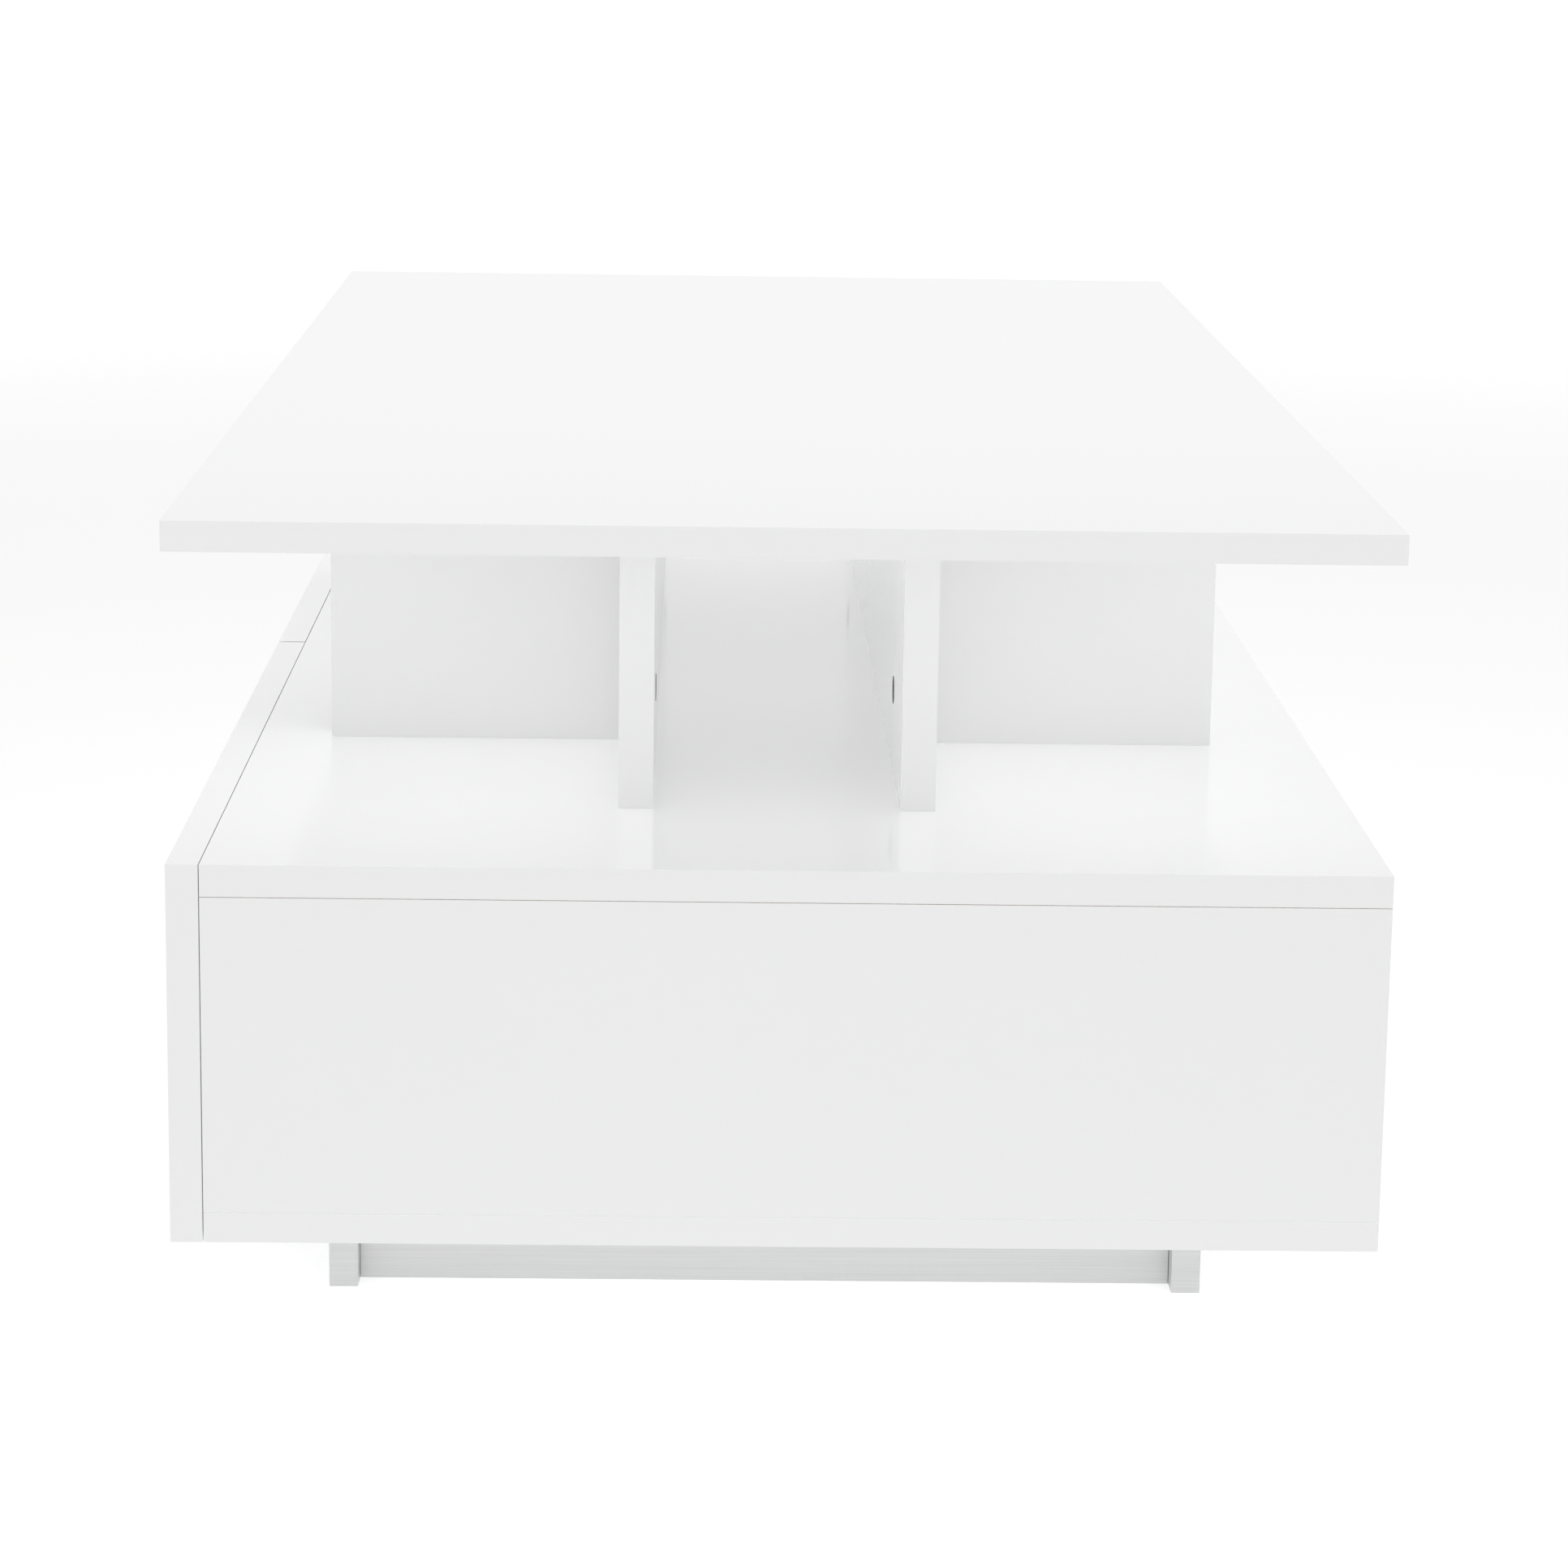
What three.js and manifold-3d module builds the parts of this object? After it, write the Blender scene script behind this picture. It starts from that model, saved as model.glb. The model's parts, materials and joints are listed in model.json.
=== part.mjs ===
// Lift top coffee table with two drawers, a raised top on four crossed panels, and a recessed plinth.
// Millimetres, +Z up. The origin is on the floor under the middle of the table. The long sides face
// -X and +X, the drawers open towards -X, and the top swings up and over towards -X.

import * as THREE from "three";
import { mergeVertices } from "three/addons/utils/BufferGeometryUtils.js";
import Module from "manifold-3d";

const wasm = await Module();
wasm.setup();

// ---- driving dimensions ----

const WIDTH = 600;
const LENGTH = 1200;
const PLINTH_HEIGHT = 113;
const BODY_HEIGHT = 192;
const DISPLAY_HEIGHT = 154;

const SLAB_THICKNESS = 15;
const DECK_THICKNESS = 16;
const BOTTOM_THICKNESS = 15;
const PANEL_THICKNESS = 16;
const UPRIGHT_THICKNESS = 18;

const TOUCH = 0.3;
const FRONT_REVEAL = 0.5;
const DRAWER_FRONT_GAP = 3;

const WING_SETBACK = 311;
const WING_REACH = 244;
const UPRIGHT_SETBACK = 135;
const CHANNEL_WIDTH = 128;

const PLINTH_SETBACK = 268;
const PLINTH_CROSS_SETBACK = 16;

const DRAWER_DEPTH = 500;
const DRAWER_HEIGHT = 115;
const DRAWER_FLOOR_CLEARANCE = 12;
const DRAWER_BOARD = 12;
const DRAWER_SHEET = 4;
const GROOVE_DEPTH = 6;
const GROOVE_HEIGHT = 7;

const RUNNER_SPACE = 12.7;
const RUNNER_STEEL = 1.2;
const RUNNER_LIFT = 58;

const LATCH_SECTION = 13;
const LATCH_LENGTH = 80;
const LATCH_BORE = 4.4;
const PLUNGER_RADIUS = 4;
const PLUNGER_CAP_RADIUS = 5.5;
const PLUNGER_CAP_LENGTH = 2;
const PLUNGER_TRAVEL = 3;

const ARM_LENGTH = 118;
const ARM_REST_ANGLE = THREE.MathUtils.degToRad(-25);
const ARM_HALF_WIDTH = 9;
const ARM_THICKNESS = 3;
const PLATE_THICKNESS = 2.5;
const PIN_RADIUS = 4;
const PIN_HOLE_RADIUS = 4.4;
const PIN_HEAD_RADIUS = 7;
const PIN_HEAD_LENGTH = 1.8;
const ROUND_STEPS = 16;

// ---- levels and faces worked out from the driving dimensions ----

const BODY_BOTTOM = PLINTH_HEIGHT;
const BAY_FLOOR = BODY_BOTTOM + BOTTOM_THICKNESS;
const DECK_TOP = BODY_BOTTOM + BODY_HEIGHT;
const BAY_CEILING = DECK_TOP - DECK_THICKNESS;
const SLAB_UNDERSIDE = DECK_TOP + DISPLAY_HEIGHT;
const TABLE_HEIGHT = SLAB_UNDERSIDE + SLAB_THICKNESS;

const SIDE = WIDTH / 2;
const END = LENGTH / 2;
const FRONT_INNER_FACE = -SIDE + PANEL_THICKNESS;
const CARCASS_EDGE = FRONT_INNER_FACE + FRONT_REVEAL;
const BAY_END = END - PANEL_THICKNESS;
const DIVIDER_HALF = PANEL_THICKNESS / 2;
const WING_OUTER_FACE = END - WING_SETBACK;
const WING_INNER_FACE = WING_OUTER_FACE - PANEL_THICKNESS;
const UPRIGHT_INNER_FACE = CHANNEL_WIDTH / 2;
const UPRIGHT_OUTER_FACE = UPRIGHT_INNER_FACE + UPRIGHT_THICKNESS;

// ---- materials ----

function finish(colour, roughness, metalness) {
  return () => new THREE.MeshStandardMaterial({ color: colour, roughness, metalness });
}

const whiteLacquer = finish(0xf4f4f5, 0.12, 0);
const silverFoil = finish(0xc9cacc, 0.42, 0.35);
const whiteMelamine = finish(0xececea, 0.5, 0);
const platedSteel = finish(0xb4b8bc, 0.35, 1);
const blackSteel = finish(0x2c2d2f, 0.45, 0.8);
const springSteel = finish(0x6c6e72, 0.4, 1);
const greyPlastic = finish(0x9b9da0, 0.55, 0);
const whitePlastic = finish(0xe6e6e4, 0.5, 0);

// ---- helpers ----

const table = new THREE.Group();

function add(name, geometry, material) {
  const mesh = new THREE.Mesh(geometry, material());
  mesh.name = name;
  table.add(mesh);
  return mesh;
}

// A straight board that fills the box between two opposite corners.
function addBoard(name, low, high, material) {
  const size = high.map((value, axis) => value - low[axis]);
  const mesh = add(name, new THREE.BoxGeometry(...size), material);
  mesh.position.set(...low.map((value, axis) => value + size[axis] / 2));
  return mesh;
}

function outline(points) {
  return new THREE.Shape(points.map(([u, v]) => new THREE.Vector2(u, v)));
}

// Extrudes a section drawn in Y and Z along +X, starting at startX.
function extrudeAlongX(shape, startX, length) {
  const geometry = new THREE.ExtrudeGeometry(shape, {
    depth: length,
    bevelEnabled: false,
    curveSegments: ROUND_STEPS,
  });
  const toWorld = new THREE.Matrix4().makeBasis(
    new THREE.Vector3(0, 1, 0),
    new THREE.Vector3(0, 0, 1),
    new THREE.Vector3(1, 0, 0),
  );
  geometry.applyMatrix4(toWorld);
  geometry.translate(startX, 0, 0);
  return geometry;
}

// Extrudes a flat outline drawn in X and Z between two Y values.
function plateAcrossY(shape, yA, yB) {
  const geometry = new THREE.ExtrudeGeometry(shape, {
    depth: Math.abs(yB - yA),
    bevelEnabled: false,
    curveSegments: ROUND_STEPS,
  });
  const toWorld = new THREE.Matrix4().makeBasis(
    new THREE.Vector3(1, 0, 0),
    new THREE.Vector3(0, 0, 1),
    new THREE.Vector3(0, -1, 0),
  );
  geometry.applyMatrix4(toWorld);
  geometry.translate(0, Math.max(yA, yB), 0);
  return geometry;
}

// Turns a profile of [radius, y] points about an axis along Y through (x, z).
function turnedAboutY(profile, x, z) {
  const ascending = profile[0][1] < profile.at(-1)[1] ? profile : [...profile].reverse();
  const points = ascending.map(([radius, y]) => new THREE.Vector2(radius, y));
  const geometry = new THREE.LatheGeometry(points, 2 * ROUND_STEPS);
  geometry.translate(x, 0, z);
  return geometry;
}

function toSolid(geometry) {
  const bare = geometry.clone();
  bare.deleteAttribute("normal");
  bare.deleteAttribute("uv");
  const merged = mergeVertices(bare, 1e-4);
  return new wasm.Manifold(new wasm.Mesh({
    numProp: 3,
    vertProperties: new Float32Array(merged.attributes.position.array),
    triVerts: new Uint32Array(merged.index.array),
  }));
}

function toGeometry(solid) {
  const mesh = solid.getMesh();
  const geometry = new THREE.BufferGeometry();
  geometry.setAttribute("position", new THREE.BufferAttribute(new Float32Array(mesh.vertProperties), 3));
  geometry.setIndex(new THREE.BufferAttribute(new Uint32Array(mesh.triVerts), 1));
  geometry.computeVertexNormals();
  return geometry;
}

function joined(geometries) {
  const [first, ...rest] = geometries.map(toSolid);
  return toGeometry(rest.reduce((whole, piece) => whole.add(piece), first));
}

// ---- plinth ----

function addPlinth() {
  const end = END - PLINTH_SETBACK;
  const top = PLINTH_HEIGHT - TOUCH;
  const inner = WING_REACH - PANEL_THICKNESS;
  for (const [label, side] of [["left", -1], ["right", 1]]) {
    const faces = [side * WING_REACH, side * inner].sort((a, b) => a - b);
    addBoard(`plinth_side_${label}`, [faces[0], -end, 0], [faces[1], end, top], silverFoil);
  }
  const crossOuter = end - PLINTH_CROSS_SETBACK;
  const crossInner = crossOuter - PANEL_THICKNESS;
  const reach = inner - TOUCH;
  for (const [label, side] of [["front", -1], ["rear", 1]]) {
    const faces = [side * crossOuter, side * crossInner].sort((a, b) => a - b);
    addBoard(`plinth_cross_${label}`, [-reach, faces[0], 0], [reach, faces[1], top], silverFoil);
  }
}

// ---- lower body ----

function addCarcass() {
  const floor = BAY_FLOOR + TOUCH;
  const ceiling = BAY_CEILING - TOUCH;
  addBoard("bottom_board", [CARCASS_EDGE, -END, BODY_BOTTOM], [SIDE, END, BAY_FLOOR], whiteLacquer);
  addBoard("deck_board", [CARCASS_EDGE, -END, BAY_CEILING], [SIDE, END, DECK_TOP], whiteLacquer);
  addBoard("end_panel_front", [CARCASS_EDGE, -END, floor], [SIDE, -BAY_END, ceiling], whiteLacquer);
  addBoard("end_panel_rear", [CARCASS_EDGE, BAY_END, floor], [SIDE, END, ceiling], whiteLacquer);
  const backFace = SIDE - PANEL_THICKNESS;
  const backEnd = BAY_END - TOUCH;
  addBoard("back_panel", [backFace, -backEnd, floor], [SIDE, backEnd, ceiling], whiteLacquer);
  const dividerEnd = backFace - TOUCH;
  addBoard(
    "centre_divider",
    [CARCASS_EDGE, -DIVIDER_HALF, floor],
    [dividerEnd, DIVIDER_HALF, ceiling],
    whiteMelamine,
  );
}

// ---- panels between the deck and the top ----

function addDisplayPanels() {
  const low = DECK_TOP + TOUCH;
  const high = SLAB_UNDERSIDE - TOUCH;
  const end = END - UPRIGHT_SETBACK;
  for (const [label, side] of [["left", -1], ["right", 1]]) {
    const upright = [side * UPRIGHT_INNER_FACE, side * UPRIGHT_OUTER_FACE].sort((a, b) => a - b);
    addBoard(`upright_${label}`, [upright[0], -end, low], [upright[1], end, high], whiteLacquer);
    const wing = [side * (UPRIGHT_OUTER_FACE + TOUCH), side * WING_REACH].sort((a, b) => a - b);
    for (const [place, way] of [["front", -1], ["rear", 1]]) {
      const faces = [way * WING_OUTER_FACE, way * WING_INNER_FACE].sort((a, b) => a - b);
      addBoard(`wing_${place}_${label}`, [wing[0], faces[0], low], [wing[1], faces[1], high], whiteLacquer);
    }
  }
}

// ---- top ----

function addTopSlab() {
  addBoard("top_slab", [-SIDE, -END, SLAB_UNDERSIDE], [SIDE, END, TABLE_HEIGHT], whiteLacquer);
}

// ---- drawers ----

// A drawer side is an extruded section with a groove that holds the bottom sheet.
function drawerSideSection(outerFace, innerFace, low, high) {
  const inward = Math.sign(innerFace - outerFace);
  const grooveFace = innerFace - inward * GROOVE_DEPTH;
  const grooveLow = low + GROOVE_HEIGHT - TOUCH;
  const grooveHigh = low + GROOVE_HEIGHT + DRAWER_SHEET + TOUCH;
  return outline([
    [outerFace, low],
    [innerFace, low],
    [innerFace, grooveLow],
    [grooveFace, grooveLow],
    [grooveFace, grooveHigh],
    [innerFace, grooveHigh],
    [innerFace, high],
    [outerFace, high],
  ]);
}

function addDrawer(name, bayLow, bayHigh, frontLow, frontHigh) {
  const low = BAY_FLOOR + DRAWER_FLOOR_CLEARANCE;
  const high = low + DRAWER_HEIGHT;
  const startX = FRONT_INNER_FACE + TOUCH;
  const outer = { near: bayLow + RUNNER_SPACE, far: bayHigh - RUNNER_SPACE };
  const inner = { near: outer.near + DRAWER_BOARD, far: outer.far - DRAWER_BOARD };
  addBoard(
    `drawer_${name}_front`,
    [-SIDE, frontLow, BODY_BOTTOM],
    [FRONT_INNER_FACE, frontHigh, DECK_TOP],
    whiteLacquer,
  );
  for (const place of ["near", "far"]) {
    const section = drawerSideSection(outer[place], inner[place], low, high);
    add(`drawer_${name}_side_${place}`, extrudeAlongX(section, startX, DRAWER_DEPTH), whiteMelamine);
  }
  const sheetLow = low + GROOVE_HEIGHT;
  const sheetReach = GROOVE_DEPTH - TOUCH;
  addBoard(
    `drawer_${name}_bottom`,
    [startX, inner.near - sheetReach, sheetLow],
    [startX + DRAWER_DEPTH, inner.far + sheetReach, sheetLow + DRAWER_SHEET],
    whiteMelamine,
  );
  addBoard(
    `drawer_${name}_back`,
    [startX + DRAWER_DEPTH - DRAWER_BOARD, inner.near + TOUCH, sheetLow + DRAWER_SHEET + TOUCH],
    [startX + DRAWER_DEPTH, inner.far - TOUCH, high],
    whiteMelamine,
  );
}

// ---- telescopic runners ----

// Each member is a folded steel channel. reach and half are its depth and half height, measured
// from the bay wall, and inward is the direction from the wall towards the drawer.
const RUNNER_MEMBERS = [
  { part: "outer", web: 0.3, tip: 10, half: 17.5 },
  { part: "middle", web: 2.5, tip: 9.6, half: 14.2 },
  { part: "inner", web: 12.4, tip: 4.8, half: 10.8 },
];

function channelSection(wall, inward, centreZ, { web, tip, half }) {
  const fold = Math.sign(tip - web) * RUNNER_STEEL;
  const at = (depth) => wall + inward * depth;
  const lip = half - RUNNER_STEEL;
  return outline([
    [at(web), centreZ - half],
    [at(tip), centreZ - half],
    [at(tip), centreZ - lip],
    [at(web + fold), centreZ - lip],
    [at(web + fold), centreZ + lip],
    [at(tip), centreZ + lip],
    [at(tip), centreZ + half],
    [at(web), centreZ + half],
  ]);
}

function addRunners(name, bayLow, bayHigh) {
  const centreZ = BAY_FLOOR + DRAWER_FLOOR_CLEARANCE + RUNNER_LIFT;
  const startX = FRONT_INNER_FACE + 2 * FRONT_REVEAL;
  for (const [place, wall, inward] of [["near", bayLow, 1], ["far", bayHigh, -1]]) {
    for (const member of RUNNER_MEMBERS) {
      const section = channelSection(wall, inward, centreZ, member);
      const geometry = extrudeAlongX(section, startX, DRAWER_DEPTH - 2 * FRONT_REVEAL);
      add(`runner_${name}_${place}_${member.part}`, geometry, platedSteel);
    }
  }
}

// ---- push latches ----

function addPushLatch(name, y) {
  const centreZ = BAY_CEILING - TOUCH - LATCH_SECTION / 2;
  const half = LATCH_SECTION / 2;
  const section = outline([
    [y - half, centreZ - half],
    [y + half, centreZ - half],
    [y + half, centreZ + half],
    [y - half, centreZ + half],
  ]);
  const bore = new THREE.Path();
  bore.absarc(y, centreZ, LATCH_BORE, 0, 2 * Math.PI, true);
  section.holes.push(bore);
  const tipX = FRONT_INNER_FACE + TOUCH;
  const housingX = tipX + PLUNGER_CAP_LENGTH + PLUNGER_TRAVEL + TOUCH;
  add(`push_latch_${name}_housing`, extrudeAlongX(section, housingX, LATCH_LENGTH), greyPlastic);
  const plungerEnd = housingX + LATCH_LENGTH - 2 * PLUNGER_TRAVEL;
  const profile = [
    [0, tipX],
    [PLUNGER_CAP_RADIUS, tipX],
    [PLUNGER_CAP_RADIUS, tipX + PLUNGER_CAP_LENGTH],
    [PLUNGER_RADIUS, tipX + PLUNGER_CAP_LENGTH],
    [PLUNGER_RADIUS, plungerEnd],
    [0, plungerEnd],
  ];
  const geometry = turnedAboutY(profile, 0, 0);
  geometry.rotateZ(-Math.PI / 2);
  geometry.translate(0, y, centreZ);
  add(`push_latch_${name}_plunger`, geometry, whitePlastic);
}

// ---- lift mechanism ----

// The upper arm turns about UPPER_PIVOT and the lower arm about LOWER_PIVOT. Both are the same
// length and stay parallel, so the bracket at their far ends, and the top with it, stays level.
const PIVOT_SPACING = 40;
const PIVOT_DIRECTION = THREE.MathUtils.degToRad(-57.5);
const PIVOT_BELOW_SLAB = 27;
const BRACKET_MARGIN = 11;
const SWEEP_CLEARANCE = 2.5;

const LOWER_PIVOT_X = -UPRIGHT_OUTER_FACE - SWEEP_CLEARANCE - BRACKET_MARGIN - ARM_LENGTH;
const UPPER_PIVOT_Z = SLAB_UNDERSIDE - PIVOT_BELOW_SLAB;
const UPPER_PIVOT = {
  x: LOWER_PIVOT_X - PIVOT_SPACING * Math.cos(PIVOT_DIRECTION),
  z: UPPER_PIVOT_Z,
};
const LOWER_PIVOT = {
  x: LOWER_PIVOT_X,
  z: UPPER_PIVOT_Z + PIVOT_SPACING * Math.sin(PIVOT_DIRECTION),
};

function armTip(pivot) {
  return {
    x: pivot.x + ARM_LENGTH * Math.cos(ARM_REST_ANGLE),
    z: pivot.z + ARM_LENGTH * Math.sin(ARM_REST_ANGLE),
  };
}

const UPPER_TIP = armTip(UPPER_PIVOT);
const LOWER_TIP = armTip(LOWER_PIVOT);
const CROSS_BAR = { x: (UPPER_PIVOT.x + UPPER_TIP.x) / 2, z: (UPPER_PIVOT.z + UPPER_TIP.z) / 2 };

// Distances from the middle of the table, outwards along Y, of the layers of one lift unit.
const PLATE_OUTER = WING_INNER_FACE - TOUCH;
const PLATE_INNER = PLATE_OUTER - PLATE_THICKNESS;
const ARM_OUTER = PLATE_INNER - TOUCH;
const ARM_INNER = ARM_OUTER - ARM_THICKNESS;
const BRACKET_OUTER = ARM_INNER - TOUCH;
const BRACKET_INNER = BRACKET_OUTER - PLATE_THICKNESS;

const BASE_PLATE_MARGIN = 11;
const BRACKET_FLANGE_WIDTH = 28;
const BRACKET_FLANGE_LENGTH = 150;
const SPRING_TURNS = 5;
const SPRING_RADIUS = 8;
const SPRING_WIRE_RADIUS = 1.2;
const SPRING_PITCH = 2.9;
const SPRING_TAIL = 16;
const SPRING_STEPS_PER_TURN = 14;
const SPRING_TAIL_STEPS = 6;
const SPRING_WIRE_STEPS = 3;
const CROSS_BAR_RADIUS = 5;

function circleHole(centre, radius) {
  const hole = new THREE.Path();
  hole.absarc(centre.x, centre.z, radius, 0, 2 * Math.PI, true);
  return hole;
}

function armShape(pivot) {
  const tip = armTip(pivot);
  const quarter = Math.PI / 2;
  const shape = new THREE.Shape();
  shape.absarc(pivot.x, pivot.z, ARM_HALF_WIDTH, ARM_REST_ANGLE + quarter, ARM_REST_ANGLE - quarter, false);
  shape.absarc(tip.x, tip.z, ARM_HALF_WIDTH, ARM_REST_ANGLE - quarter, ARM_REST_ANGLE + quarter, false);
  shape.closePath();
  shape.holes.push(circleHole(pivot, PIN_HOLE_RADIUS), circleHole(tip, PIN_HOLE_RADIUS));
  return shape;
}

function basePlateShape() {
  const left = UPPER_PIVOT.x - ARM_HALF_WIDTH;
  const right = LOWER_PIVOT.x + BASE_PLATE_MARGIN;
  const low = DECK_TOP + 2 * TOUCH;
  const high = UPPER_PIVOT.z + BASE_PLATE_MARGIN;
  const shape = outline([[left, low], [right, low], [right, high], [left, high]]);
  shape.holes.push(circleHole(UPPER_PIVOT, PIN_HOLE_RADIUS), circleHole(LOWER_PIVOT, PIN_HOLE_RADIUS));
  return shape;
}

// A fixed pivot pin: its shank ends flush with the back of the base plate, and its head keeps the
// arm on.
function pivotPinProfile(side, headStart, headEnd) {
  const shankEnd = PLATE_OUTER;
  return [
    [0, side * shankEnd],
    [PIN_RADIUS, side * shankEnd],
    [PIN_RADIUS, side * headStart],
    [PIN_HEAD_RADIUS, side * headStart],
    [PIN_HEAD_RADIUS, side * headEnd],
    [0, side * headEnd],
  ];
}

function bracketGeometry(side) {
  const left = UPPER_TIP.x - BRACKET_MARGIN;
  const right = LOWER_TIP.x + BRACKET_MARGIN;
  const low = LOWER_TIP.z - ARM_HALF_WIDTH;
  const high = SLAB_UNDERSIDE - TOUCH;
  const web = outline([[left, low], [right, low], [right, high], [left, high]]);
  const flange = outline([
    [right - BRACKET_FLANGE_LENGTH, high - PLATE_THICKNESS],
    [right, high - PLATE_THICKNESS],
    [right, high],
    [right - BRACKET_FLANGE_LENGTH, high],
  ]);
  const pieces = [
    plateAcrossY(web, side * BRACKET_OUTER, side * BRACKET_INNER),
    plateAcrossY(flange, side * BRACKET_OUTER, side * (BRACKET_OUTER - BRACKET_FLANGE_WIDTH)),
  ];
  for (const tip of [UPPER_TIP, LOWER_TIP]) {
    const headStart = ARM_OUTER + TOUCH;
    const shankEnd = (BRACKET_OUTER + BRACKET_INNER) / 2;
    const profile = [
      [0, side * (headStart + PIN_HEAD_LENGTH)],
      [PIN_HEAD_RADIUS, side * (headStart + PIN_HEAD_LENGTH)],
      [PIN_HEAD_RADIUS, side * headStart],
      [PIN_RADIUS, side * headStart],
      [PIN_RADIUS, side * shankEnd],
      [0, side * shankEnd],
    ];
    pieces.push(turnedAboutY(profile, tip.x, tip.z));
  }
  return joined(pieces);
}

// Wire that winds around the upper pivot pin, with a straight tail at each end.
class TorsionSpringPath extends THREE.Curve {
  constructor(side, startY) {
    super();
    this.side = side;
    this.startY = startY;
  }

  getPoint(t, target = new THREE.Vector3()) {
    const wound = SPRING_TURNS * 2 * Math.PI;
    const coilLength = wound * SPRING_RADIUS;
    const total = coilLength + 2 * SPRING_TAIL;
    const along = t * total - SPRING_TAIL;
    const angle = Math.min(Math.max(along / SPRING_RADIUS, 0), wound);
    const tail = along - angle * SPRING_RADIUS;
    const start = -Math.PI / 2;
    const x = SPRING_RADIUS * Math.cos(start + angle) - tail * Math.sin(start + angle);
    const z = SPRING_RADIUS * Math.sin(start + angle) + tail * Math.cos(start + angle);
    const y = this.side * (this.startY - (SPRING_PITCH * angle) / (2 * Math.PI));
    return target.set(UPPER_PIVOT.x + x, y, UPPER_PIVOT.z + z);
  }
}

function springGeometry(side, startY) {
  const wire = new THREE.Shape();
  wire.absarc(0, 0, SPRING_WIRE_RADIUS, 0, 2 * Math.PI, false);
  return new THREE.ExtrudeGeometry(wire, {
    steps: SPRING_TURNS * SPRING_STEPS_PER_TURN + SPRING_TAIL_STEPS,
    curveSegments: SPRING_WIRE_STEPS,
    bevelEnabled: false,
    extrudePath: new TorsionSpringPath(side, startY),
  });
}

function addLiftUnit(label, side) {
  const basePlate = plateAcrossY(basePlateShape(), side * PLATE_OUTER, side * PLATE_INNER);
  add(`lift_base_plate_${label}`, basePlate, blackSteel);

  for (const [arm, pivot] of [["upper", UPPER_PIVOT], ["lower", LOWER_PIVOT]]) {
    const geometry = plateAcrossY(armShape(pivot), side * ARM_OUTER, side * ARM_INNER);
    add(`lift_arm_${arm}_${label}`, geometry, blackSteel);
  }

  const springStart = ARM_INNER - 2 * TOUCH - SPRING_WIRE_RADIUS;
  const springEnd = springStart - SPRING_TURNS * SPRING_PITCH - SPRING_WIRE_RADIUS;
  const upperHead = springEnd - 2 * TOUCH;
  const lowerHead = ARM_INNER - TOUCH;
  const heads = [["upper", UPPER_PIVOT, upperHead], ["lower", LOWER_PIVOT, lowerHead]];
  for (const [pin, pivot, head] of heads) {
    const profile = pivotPinProfile(side, head, head - PIN_HEAD_LENGTH);
    add(`lift_pin_${pin}_${label}`, turnedAboutY(profile, pivot.x, pivot.z), platedSteel);
  }

  add(`lift_spring_${label}`, springGeometry(side, springStart), springSteel);
  add(`lift_bracket_${label}`, bracketGeometry(side), blackSteel);
}

function addCrossBar() {
  const reach = ARM_INNER - TOUCH;
  const profile = [
    [0, -reach],
    [CROSS_BAR_RADIUS, -reach],
    [CROSS_BAR_RADIUS, reach],
    [0, reach],
  ];
  add("lift_cross_bar", turnedAboutY(profile, CROSS_BAR.x, CROSS_BAR.z), blackSteel);
}

// ---- the whole table ----

addPlinth();
addCarcass();
addDisplayPanels();
addTopSlab();

const DRAWERS = [
  { name: "a", bay: [-BAY_END, -DIVIDER_HALF], front: [-END, -DRAWER_FRONT_GAP / 2] },
  { name: "b", bay: [DIVIDER_HALF, BAY_END], front: [DRAWER_FRONT_GAP / 2, END] },
];
for (const { name, bay, front } of DRAWERS) {
  addDrawer(name, ...bay, ...front);
  addRunners(name, ...bay);
  addPushLatch(name, (bay[0] + bay[1]) / 2);
}

for (const [label, side] of [["front", -1], ["rear", 1]]) {
  addLiftUnit(label, side);
}
addCrossBar();

export default table;
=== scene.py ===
"""Looks of the lift top coffee table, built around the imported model.

Lengths are in metres and angles in radians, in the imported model's frame: X is the table's width, Y
its length and Z is up.
"""

import json
import math

import bmesh
import bpy
from mathutils import Matrix, Vector


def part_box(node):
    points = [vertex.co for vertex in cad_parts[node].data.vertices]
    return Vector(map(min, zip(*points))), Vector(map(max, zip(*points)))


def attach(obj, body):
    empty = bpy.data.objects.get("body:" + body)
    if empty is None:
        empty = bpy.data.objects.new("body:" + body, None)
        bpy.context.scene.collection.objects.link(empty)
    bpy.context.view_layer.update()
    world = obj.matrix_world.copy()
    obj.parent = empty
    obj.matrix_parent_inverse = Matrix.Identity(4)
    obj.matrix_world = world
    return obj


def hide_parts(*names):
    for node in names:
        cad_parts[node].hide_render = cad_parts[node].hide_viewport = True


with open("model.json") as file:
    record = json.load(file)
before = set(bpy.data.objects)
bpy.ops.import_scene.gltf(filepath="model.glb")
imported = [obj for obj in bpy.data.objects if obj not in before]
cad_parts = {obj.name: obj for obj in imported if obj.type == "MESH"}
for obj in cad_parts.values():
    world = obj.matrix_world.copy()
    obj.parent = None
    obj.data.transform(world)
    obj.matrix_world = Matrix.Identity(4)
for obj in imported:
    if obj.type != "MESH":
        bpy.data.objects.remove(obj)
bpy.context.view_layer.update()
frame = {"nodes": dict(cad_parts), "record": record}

MM = 0.001

# ---- camera ----

CAMERA_PLACE = (-0.0436, -2.7166, 0.8068)
CAMERA_PITCH = math.radians(-12.22)
CAMERA_ROLL = math.radians(-0.85)
CAMERA_YAW = math.radians(-1.20)
LENS_MM = 102.4
SENSOR_MM = 36.0
VIEW_DEPTH = 200.0


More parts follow.
